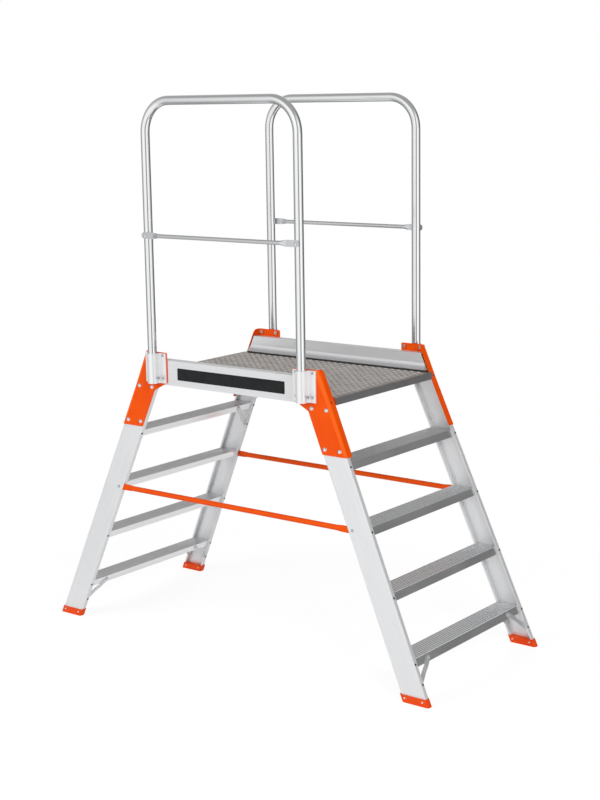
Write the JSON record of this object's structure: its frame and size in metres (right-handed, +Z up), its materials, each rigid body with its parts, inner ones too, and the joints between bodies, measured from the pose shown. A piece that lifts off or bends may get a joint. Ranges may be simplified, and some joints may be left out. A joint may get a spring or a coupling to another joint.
{
  "type": "double-sided step platform",
  "caption": "Free-standing aluminium step platform with a flight of ribbed treads on each side, a tread plate deck between them and lift-out handrail hoops along both edges.",
  "frame": {"origin": "floor under the middle of the platform, at the bottom centre of its bounding box", "axes": "+X along the walking direction towards the right flight, +Y across to the far handrail, +Z up"},
  "size_m": [1.8848, 0.8216, 2.176],
  "materials": {
    "extruded_aluminium": "mill finish, lightly brushed along its length",
    "tread_aluminium": "ribbed, mill finish",
    "tread_plate": "raised bar pattern, worn",
    "socket_aluminium": "blasted casting",
    "rail_tube": "smooth anodised tube",
    "bar_aluminium": "drawn bar",
    "orange_powder_coat": "semi-gloss powder coat",
    "orange_plastic": "moulded, satin",
    "zinc_steel": "zinc plated"
  },
  "bodies": {
    "frame": {"stile_near_right": "extruded_aluminium", "gusset_near_right": "orange_powder_coat", "post_socket_near_right": "socket_aluminium", "shoe_near_right": "orange_plastic", "stile_near_left": "extruded_aluminium", "gusset_near_left": "orange_powder_coat", "post_socket_near_left": "socket_aluminium", "shoe_near_left": "orange_plastic", "stile_far_right": "extruded_aluminium", "gusset_far_right": "orange_powder_coat", "post_socket_far_right": "socket_aluminium", "shoe_far_right": "orange_plastic", "stile_far_left": "extruded_aluminium", "gusset_far_left": "orange_powder_coat", "post_socket_far_left": "socket_aluminium", "shoe_far_left": "orange_plastic", "tread_right_1": "tread_aluminium", "tread_right_2": "tread_aluminium", "tread_right_3": "tread_aluminium", "tread_right_4": "tread_aluminium", "tread_left_1": "tread_aluminium", "tread_left_2": "tread_aluminium", "tread_left_3": "tread_aluminium", "tread_left_4": "tread_aluminium", "side_beam_near": "extruded_aluminium", "strut_near": "orange_powder_coat", "side_beam_far": "extruded_aluminium", "strut_far": "orange_powder_coat", "deck_plate": "tread_plate", "deck_bearer_1": "extruded_aluminium", "deck_bearer_2": "extruded_aluminium", "deck_bearer_3": "extruded_aluminium", "deck_bearer_4": "extruded_aluminium", "right_lower_front_braces": "bar_aluminium", "right_lower_rear_braces": "bar_aluminium", "right_upper_rear_braces": "bar_aluminium", "left_lower_front_braces": "bar_aluminium", "left_lower_rear_braces": "bar_aluminium", "left_upper_rear_braces": "bar_aluminium", "gusset_bolts": "zinc_steel", "gusset_nuts": "zinc_steel", "socket_bolts": "zinc_steel", "socket_nuts": "zinc_steel", "strut_bolts": "zinc_steel", "strut_nuts": "zinc_steel", "post_clamp_screws": "zinc_steel"},
    "handrail_near": {"handrail_near": "rail_tube", "mid_rail_near": "bar_aluminium", "rail_rivets_near": "zinc_steel"},
    "handrail_far": {"handrail_far": "rail_tube", "mid_rail_far": "bar_aluminium", "rail_rivets_far": "zinc_steel"}
  },
  "joints": [
    {"name": "handrail_near_lift", "type": "slide", "parent": "frame", "child": "handrail_near", "axis": [0, 0, 1], "range_m": [0, 0.125]},
    {"name": "handrail_far_lift", "type": "slide", "parent": "frame", "child": "handrail_far", "axis": [0, 0, 1], "range_m": [0, 0.125]}
  ]
}
